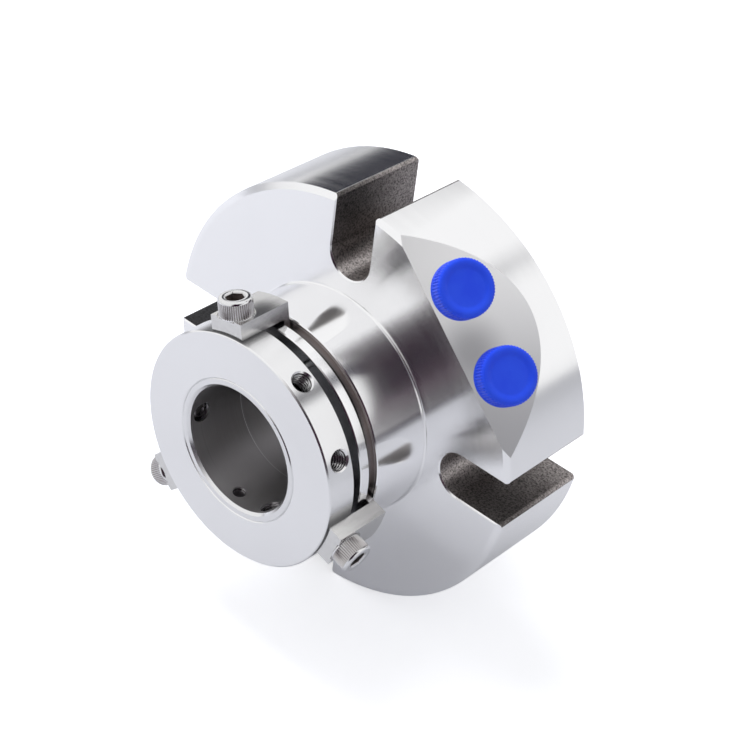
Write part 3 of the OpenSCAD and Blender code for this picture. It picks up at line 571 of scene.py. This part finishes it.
def threaded_rows(low, high, minor, depth, pitch, count, steps, ends=0.8):
    """Rows of a threaded cylinder from low to high whose thread fades at both ends.

    steps is the number of rows in a pitch.
    """
    rows = []
    n = max(2, round((high - low) / pitch * steps))
    for i in range(n + 1):
        z = low + (high - low) * i / n
        fade = min(1.0, (z - low) / ends, (high - z) / ends)
        rows.append(around(minor, z, count, lambda a, z=z, f=max(0.0, fade): f * thread(z, a, pitch, depth)))
    return rows


# Sizes of the pieces' own shapes, in millimetres
AXIS_R = 0.02
CAP_SEGMENTS = 240
CAP_RIBS = 60
CAP_RIB_DEPTH = 0.30
CAP_HEAD_R = 8.6
CAP_HEIGHT = 6.6
CAP_CORNER_R = 1.3
CAP_DISH_DEPTH = 0.55
CAP_PITCH = 1.337


def port_cap(side):
    """Blue plug with a ribbed head, a shallow dish and a threaded hollow shank."""
    def rib(share):
        return lambda a: -CAP_RIB_DEPTH * share * (0.5 - 0.5 * math.cos(CAP_RIBS * a)) ** 1.5

    count = CAP_SEGMENTS
    rows = plain_rows(count, (AXIS_R, 2.0), (4.4, 2.0), (4.7, 1.7), (4.7, -9.7), (5.0, -10.0), (5.5, -10.0))
    rows += threaded_rows(-9.6, -0.4, 5.85, 0.45, CAP_PITCH, count, 8)
    rows += plain_rows(count, (6.2, 0.0), (8.3, 0.0), (CAP_HEAD_R, 0.3), (CAP_HEAD_R, 1.6))
    for z, share in ((1.9, 0.5), (2.3, 1.0), (3.4, 1.0), (4.5, 1.0), (5.2, 1.0)):
        rows.append(around(CAP_HEAD_R, z, count, rib(share)))
    # The ribs fade over the rounded corner, and the top dips
    for degrees, share in ((20, 0.8), (40, 0.45), (60, 0.15), (78, 0.0), (90, 0.0)):
        a = math.radians(degrees)
        rows.append(around(CAP_HEAD_R - CAP_CORNER_R * (1 - math.cos(a)),
                           CAP_HEIGHT - CAP_CORNER_R + CAP_CORNER_R * math.sin(a), count, rib(share)))
    for i in range(1, 9):
        t = i / 8
        drop = CAP_DISH_DEPTH * (0.5 - 0.5 * math.cos(math.pi * t))
        rows.append(around(7.1 - 2.0 * t, CAP_HEIGHT - drop, count))
    dish = CAP_HEIGHT - CAP_DISH_DEPTH
    rows += plain_rows(count, (2.5, dish), (AXIS_R, dish))
    mesh = grid_mesh("port_cap_" + side, rows)
    obj = piece("port_cap_" + side, mesh, "plastic", "plug_" + side,
                frame_at(PORT_SEATS[side], PORT_NORMAL), 40)
    obj.visible_glossy = False
    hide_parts("port_plug_" + side)


for side in ("upper", "lower"):
    port_cap(side)


SCREW_SEGMENTS = 192
SCREW_KNURLS = 48
SCREW_KNURL_DEPTH = 0.22
SCREW_HEAD_R = 5.0
SCREW_HEAD_HEIGHT = 6.0
SCREW_SOCKET_R = 2.49
SCREW_LENGTH = 11.6
M6_PITCH = 1.0


def clip_screw(index, clock):
    """Socket head screw with a straight knurl, a countersunk hexagon and a threaded shank."""
    count = SCREW_SEGMENTS

    def knurl(share):
        return lambda a: -SCREW_KNURL_DEPTH * share * abs(math.sin(SCREW_KNURLS * a / 2)) ** 0.8

    def hexagon(r):
        return lambda a: r / math.cos((a % (math.pi / 3)) - math.pi / 6) - r

    def recess_shade(point):
        """Painted shade in the socket, the thread's valleys and the knurl's valleys."""
        radius, z = math.hypot(point[0], point[1]), point[2]
        if radius < 3.0 and z > 0:
            return 1.0 if z < 5.0 else 0.35
        if radius < 2.92:
            return min(1.0, max(0.0, (2.92 - radius) / 0.45))
        if 0.7 < z < 5.2:
            return min(1.0, max(0.0, (SCREW_HEAD_R - radius) / 0.2)) * 0.75
        return 0.0

    rows = plain_rows(count, (AXIS_R, -SCREW_LENGTH), (2.2, -SCREW_LENGTH))
    rows += threaded_rows(-11.2, -0.8, 2.42, 0.5, M6_PITCH, count, 7)
    rows += plain_rows(count, (2.9, -0.4), (2.9, 0.0), (4.7, 0.0), (4.85, 0.15), (4.95, 0.55))
    for z, share in ((0.8, 1.0), (2.8, 1.0), (4.9, 1.0), (5.1, 0.0)):
        rows.append(around(SCREW_HEAD_R, z, count, knurl(share)))
    rows += plain_rows(count, (4.97, 5.35), (4.85, 5.6), (4.55, 5.9), (4.35, SCREW_HEAD_HEIGHT),
                       (3.2, SCREW_HEAD_HEIGHT), (3.08, 5.95))
    for r, z in ((SCREW_SOCKET_R, 5.55), (SCREW_SOCKET_R, 3.0), (2.3, 2.95)):
        rows.append(around(r, z, count, hexagon(r)))
    rows += plain_rows(count, (AXIS_R, 2.4))
    mesh = grid_mesh(f"clip_screw_knurled_{index}", rows, recess_shade=recess_shade)
    obj = piece(f"clip_screw_knurled_{index}", mesh, "screw", "rotor",
                radial(clock, CLIP_SEAT_R, SCREW_LINE), 30)
    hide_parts(f"clip_screw_{index}")


for i, clock in enumerate(CLIP_CLOCKS):
    clip_screw(i + 1, clock)


HOLE_SEGMENTS = 64
HOLE_R = 3.04
HOLE_RIDGE_R = 2.53
HOLE_VALLEY_R = 2.95


def hole_threads(name, clocks, low, high):
    """Threads that line the open ends of the set screw holes.

    low and high are the distances of a thread's ends from the shaft's axis, in millimetres.
    """
    # Painted shade in the thread's valleys
    def recess_shade(point):
        return min(1.0, max(0.0, (math.hypot(point[0], point[1]) - HOLE_RIDGE_R) / 0.4))

    for i, clock in enumerate(clocks):
        inner = threaded_rows(low, high, HOLE_VALLEY_R, HOLE_RIDGE_R - HOLE_VALLEY_R, M6_PITCH,
                              HOLE_SEGMENTS, 8, 0.5)
        outer = plain_rows(HOLE_SEGMENTS, (HOLE_R, high), (HOLE_R, low))
        mesh = grid_mesh(f"{name}_{i + 1}", inner + outer, close_rows=True, recess_shade=recess_shade)
        piece(f"{name}_{i + 1}", mesh, "thread", "rotor",
              radial(clock, 0.0, SCREW_LINE), 40)


hole_threads("grip_hole_thread", GRIP_CLOCKS, 30.75, 36.55)
hole_threads("dog_hole_thread", DOG_CLOCKS, 30.35, 36.55)


SPRING_CLOCKS = range(0, 360, 60)
SPRING_CIRCLE_R = 28.147
SPRING_COIL_R = 0.9
SPRING_WIRE_R = 0.3
SPRING_TURNS = 5
SPRING_STEPS = 24
SPRING_SIDES = 12


def coil_rows(height):
    """Rings of wire around a helix along Z, closed at both ends, in millimetres."""
    rings = SPRING_TURNS * SPRING_STEPS
    rise = height - 2 * SPRING_WIRE_R
    rows = []
    for i in range(-1, rings + 2):
        k = min(max(i, 0), rings)
        wire = SPRING_WIRE_R if i == k else 0.0
        turn = 2 * math.pi * k / SPRING_STEPS
        z = SPRING_WIRE_R + rise * k / rings
        row = []
        for j in range(SPRING_SIDES):
            a = 2 * math.pi * j / SPRING_SIDES
            r = SPRING_COIL_R + wire * math.cos(a)
            row.append((r * math.cos(turn), r * math.sin(turn), z + wire * math.sin(a)))
        rows.append(row)
    return rows


def face_springs(side, seat, disc):
    """Six coil springs that rest in the housing at seat and reach the face ring at disc."""
    name = side + "_coil_springs"
    joined = bmesh.new()
    for clock in SPRING_CLOCKS:
        a = math.radians(clock)
        place = Vector((math.sin(a) * SPRING_CIRCLE_R * MM, seat, math.cos(a) * SPRING_CIRCLE_R * MM))
        coil = grid_mesh(name, coil_rows(abs(disc - seat) / MM))
        coil.transform(frame_at(place, (0, math.copysign(1, disc - seat), 0)))
        joined.from_mesh(coil)
    mesh = bpy.data.meshes.new(name)
    joined.to_mesh(mesh)
    joined.free()
    obj = piece(name, mesh, "spring", None, sharp=40)
    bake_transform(obj)
    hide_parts(side + "_springs")


face_springs("outboard", -39.94 * MM, -47.86 * MM)
face_springs("inboard", -8.96 * MM, -1.04 * MM)


# Stage, light and camera

FLOOR_HALF = 4
FLOOR_Z = cad_box[0].z - 0.02 * MM
FLOOR_COLOUR = (0.78, 0.79, 0.84)
# Light added to the floor where the camera sees it, and where metal mirrors it
FLOOR_LIFT_SEEN = 0.56
FLOOR_LIFT_MIRRORED = 0.03


def new_tree(material):
    """An empty node tree for a material or world, with its output."""
    material.use_nodes = True
    tree = material.node_tree
    tree.nodes.clear()
    kind = "ShaderNodeOutputWorld" if isinstance(material, bpy.types.World) else "ShaderNodeOutputMaterial"
    return tree, tree.nodes.new(kind)


def linked(tree, kind, inputs, **settings):
    """Adds a node, sets it up and links or fills its inputs."""
    node = tree.nodes.new(kind)
    for key, value in settings.items():
        setattr(node, key, value)
    for key, value in inputs.items():
        if isinstance(value, bpy.types.NodeSocket):
            tree.links.new(value, node.inputs[key])
        else:
            node.inputs[key].default_value = value
    return node


def floor_material():
    """Pale matt floor that is white to the camera and keeps the object's shadow."""
    material = bpy.data.materials.new("pale_floor")
    tree, out = new_tree(material)
    path = tree.nodes.new("ShaderNodeLightPath")
    seen = linked(tree, "ShaderNodeMath", {0: path.outputs["Is Camera Ray"], 1: FLOOR_LIFT_SEEN},
                  operation="MULTIPLY")
    mirrored = linked(tree, "ShaderNodeMath", {0: path.outputs["Is Glossy Ray"], 1: FLOOR_LIFT_MIRRORED},
                      operation="MULTIPLY")
    lift = linked(tree, "ShaderNodeMath", {0: seen.outputs[0], 1: mirrored.outputs[0]}, operation="ADD")
    grain = linked(tree, "ShaderNodeTexNoise", {"Scale": 90.0, "Detail": 3.0})
    shade = tuple(c * 0.97 for c in FLOOR_COLOUR)
    tone = linked(tree, "ShaderNodeMix",
                  {0: grain.outputs[0], 6: colour(FLOOR_COLOUR), 7: colour(shade)}, data_type="RGBA")
    diffuse = linked(tree, "ShaderNodeBsdfDiffuse", {"Color": tone.outputs[2]})
    glow = linked(tree, "ShaderNodeEmission", {"Strength": lift.outputs[0]})
    both = linked(tree, "ShaderNodeAddShader", {0: diffuse.outputs[0], 1: glow.outputs[0]})
    tree.links.new(both.outputs[0], out.inputs["Surface"])
    return material


def floor():
    mesh = bpy.data.meshes.new("floor")
    corners = [(x * FLOOR_HALF, y * FLOOR_HALF, FLOOR_Z) for x, y in ((-1, -1), (1, -1), (1, 1), (-1, 1))]
    mesh.from_pydata(corners, [], [(0, 1, 2, 3)])
    obj = bpy.data.objects.new("floor", mesh)
    bpy.context.scene.collection.objects.link(obj)
    mesh.materials.append(floor_material())


floor()


def axes_matrix(right, up, back, place):
    """A matrix from the directions of X, Y and Z and a place."""
    return Matrix((
        (right.x, up.x, back.x, place[0]),
        (right.y, up.y, back.y, place[1]),
        (right.z, up.z, back.z, place[2]),
        (0, 0, 0, 1)))


def card(name, azimuth, elevation, distance, half_width, half_height, dark, light, soft):
    """A studio card that only polished metal sees. Its direction is given as a camera's would be.

    Its colour is dark with patches of light. soft is how much of it fades out at its left, right,
    bottom and top.
    """
    a, e = math.radians(azimuth), math.radians(elevation)
    back = Vector((math.sin(a) * math.cos(e), -math.cos(a) * math.cos(e), math.sin(e)))
    right = Vector((math.cos(a), math.sin(a), 0))
    up = back.cross(right)
    mesh = bpy.data.meshes.new(name)
    corners = [(-half_width, -half_height, 0), (half_width, -half_height, 0), (half_width, half_height, 0),
               (-half_width, half_height, 0)]
    mesh.from_pydata(corners, [], [(0, 1, 2, 3)])
    obj = bpy.data.objects.new(name, mesh)
    bpy.context.scene.collection.objects.link(obj)
    obj.matrix_world = axes_matrix(right, up, back, [c * distance for c in back])
    material = bpy.data.materials.new(name)
    tree, out = new_tree(material)
    place = tree.nodes.new("ShaderNodeTexCoord")
    split = linked(tree, "ShaderNodeSeparateXYZ", {0: place.outputs["Object"]})
    mask = None
    sides = ((0, -half_width, half_width, soft[0]), (0, half_width, half_width, soft[1]),
             (1, -half_height, half_height, soft[2]), (1, half_height, half_height, soft[3]))
    for axis, edge, half, share in sides:
        inner = edge - math.copysign(2 * half * share, edge)
        ramp = linked(tree, "ShaderNodeMapRange",
                      {"Value": split.outputs[axis], "From Min": edge, "From Max": inner},
                      interpolation_type="SMOOTHSTEP")
        if mask is None:
            mask = ramp.outputs[0]
        else:
            both_masks = linked(tree, "ShaderNodeMath", {0: mask, 1: ramp.outputs[0]}, operation="MULTIPLY")
            mask = both_masks.outputs[0]
    patches = linked(tree, "ShaderNodeTexNoise",
                     {"Vector": place.outputs["Object"], "Scale": 9.0, "Detail": 2.0})
    spread = linked(tree, "ShaderNodeMapRange",
                    {"Value": patches.outputs[0], "From Min": 0.45, "From Max": 0.7},
                    interpolation_type="SMOOTHSTEP")
    tone = linked(tree, "ShaderNodeMix", {0: spread.outputs[0], 6: colour(dark), 7: colour(light)},
                  data_type="RGBA")
    glow = linked(tree, "ShaderNodeEmission", {"Color": tone.outputs[2]})
    clear = tree.nodes.new("ShaderNodeBsdfTransparent")
    both = linked(tree, "ShaderNodeMixShader", {0: mask, 1: clear.outputs[0], 2: glow.outputs[0]})
    tree.links.new(both.outputs[0], out.inputs["Surface"])
    mesh.materials.append(material)
    obj.visible_camera = False
    obj.visible_diffuse = False
    obj.visible_shadow = False
    obj.visible_transmission = False


card("dark_card_right", azimuth=34, elevation=24, distance=0.26, half_width=0.12, half_height=0.165,
     dark=(0.012, 0.002, 0.012), light=(0.055, 0.020, 0.040), soft=(0.25, 0.10, 0.10, 0.06))
card("grey_card_side", azimuth=80, elevation=32, distance=0.70, half_width=0.22, half_height=0.16,
     dark=(0.34, 0.34, 0.37), light=(0.42, 0.42, 0.45), soft=(0.3, 0.3, 0.3, 0.4))
card("dark_card_behind", azimuth=-139, elevation=30, distance=0.303, half_width=0.12, half_height=0.11,
     dark=(0.020, 0.020, 0.030), light=(0.035, 0.035, 0.05), soft=(0.1, 0.1, 0.22, 0.15))
card("grey_card_behind", azimuth=138, elevation=50, distance=0.70, half_width=0.15, half_height=0.09,
     dark=(0.12, 0.12, 0.14), light=(0.18, 0.18, 0.20), soft=(0.3, 0.3, 0.3, 0.3))


# Strength of the surroundings as they light matt surfaces
WORLD_ON_MATT = 0.52


def studio_world():
    """White surroundings, at full strength only where they are seen or mirrored."""
    world = bpy.data.worlds.new("studio")
    bpy.context.scene.world = world
    tree, out = new_tree(world)
    path = tree.nodes.new("ShaderNodeLightPath")
    seen = linked(tree, "ShaderNodeMath",
                  {0: path.outputs["Is Camera Ray"], 1: path.outputs["Is Glossy Ray"]},
                  operation="MAXIMUM")
    seen = linked(tree, "ShaderNodeMath", {0: seen.outputs[0], 1: path.outputs["Is Transmission Ray"]},
                  operation="MAXIMUM")
    strength = linked(tree, "ShaderNodeMapRange",
                      {"Value": seen.outputs[0], "To Min": WORLD_ON_MATT, "To Max": 1.0})
    sky = linked(tree, "ShaderNodeBackground", {"Strength": strength.outputs[0], "Color": colour(WHITE)})
    tree.links.new(sky.outputs[0], out.inputs["Surface"])


studio_world()


LAMP_SIZE = 0.5
LAMP_TARGET = Vector((0, -0.02, 0))


def lamp(name, position, power):
    """A square soft box, in watts, that polished metal doesn't mirror."""
    data = bpy.data.lights.new(name, "AREA")
    data.shape = "SQUARE"
    data.size = LAMP_SIZE
    data.energy = power
    obj = bpy.data.objects.new(name, data)
    bpy.context.scene.collection.objects.link(obj)
    obj.location = position
    obj.rotation_mode = "QUATERNION"
    obj.rotation_quaternion = (LAMP_TARGET - Vector(position)).to_track_quat("-Z", "Y")
    obj.visible_camera = False
    obj.visible_glossy = False


lamp("soft_box_top", (-0.31, 0.03, 0.70), 3.4)
lamp("soft_box_left", (-0.70, -0.45, 0.30), 1.6)


# The photograph's view: the frame's width and the lens's length in pixels, the camera's place and its axes
PHOTO_WIDTH = 730
LENS_PIXELS = 1902.7
SENSOR_WIDTH = 36
CAMERA_PLACE = (290.963 * MM, -388.764 * MM, 343.576 * MM)
CAMERA_RIGHT = Vector((0.730165, 0.675504, 0.102731))
CAMERA_UP = Vector((-0.461011, 0.376079, 0.803762))
CAMERA_BACK = Vector((0.504309, -0.634238, 0.586015))


def photo_camera():
    data = bpy.data.cameras.new("camera")
    data.sensor_width = SENSOR_WIDTH
    data.lens = LENS_PIXELS / PHOTO_WIDTH * SENSOR_WIDTH
    data.clip_start = 0.01
    data.clip_end = 20
    obj = bpy.data.objects.new("camera", data)
    bpy.context.scene.collection.objects.link(obj)
    bpy.context.scene.camera = obj
    obj.matrix_world = axes_matrix(CAMERA_RIGHT, CAMERA_UP, CAMERA_BACK, CAMERA_PLACE)


photo_camera()
bpy.context.scene.view_settings.view_transform = "Standard"
